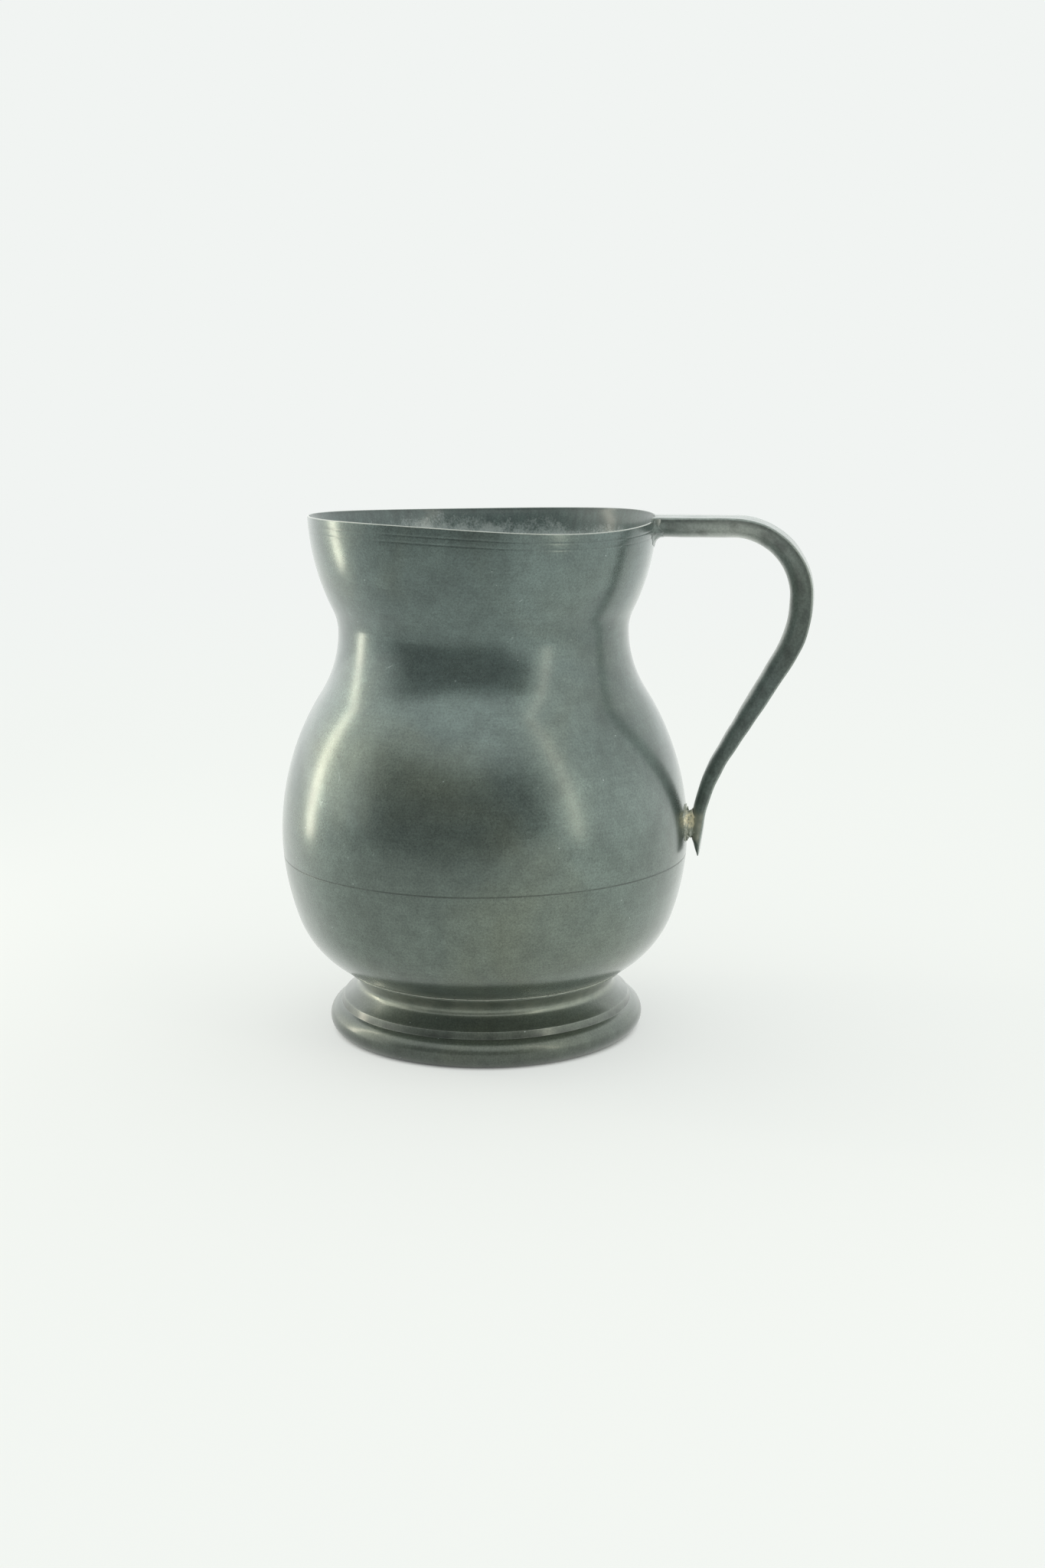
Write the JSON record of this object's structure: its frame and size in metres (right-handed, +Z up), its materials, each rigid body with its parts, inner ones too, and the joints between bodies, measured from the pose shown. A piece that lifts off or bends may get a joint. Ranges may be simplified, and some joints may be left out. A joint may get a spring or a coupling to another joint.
{
  "type": "bellied jug",
  "caption": "Bellied open pewter jug with a flared rim, a moulded foot and a strap handle soldered to rim and belly, for holding and pouring drink.",
  "frame": {"origin": "on the axis of the body, in the plane that the foot stands on", "axes": "+Z up along the axis of the body, +X towards the handle, +Y to the left of someone facing along +X"},
  "size_m": [0.1826, 0.1408, 0.1796],
  "materials": {
    "pewter": "satin pewter with a dark uneven patina",
    "dark_pewter": "dull oxidised pewter",
    "solder": "dull soft solder with pale residue"
  },
  "bodies": {
    "root": {"upper_body": "pewter", "lower_body": "pewter", "foot_ring": "pewter", "handle": "pewter", "base_disc": "dark_pewter", "belly_seam_solder": "dark_pewter", "handle_strut": "solder", "rim_solder": "solder", "strut_solder": "solder", "foot_solder": "solder", "base_disc_solder": "solder"}
  },
  "joints": []
}
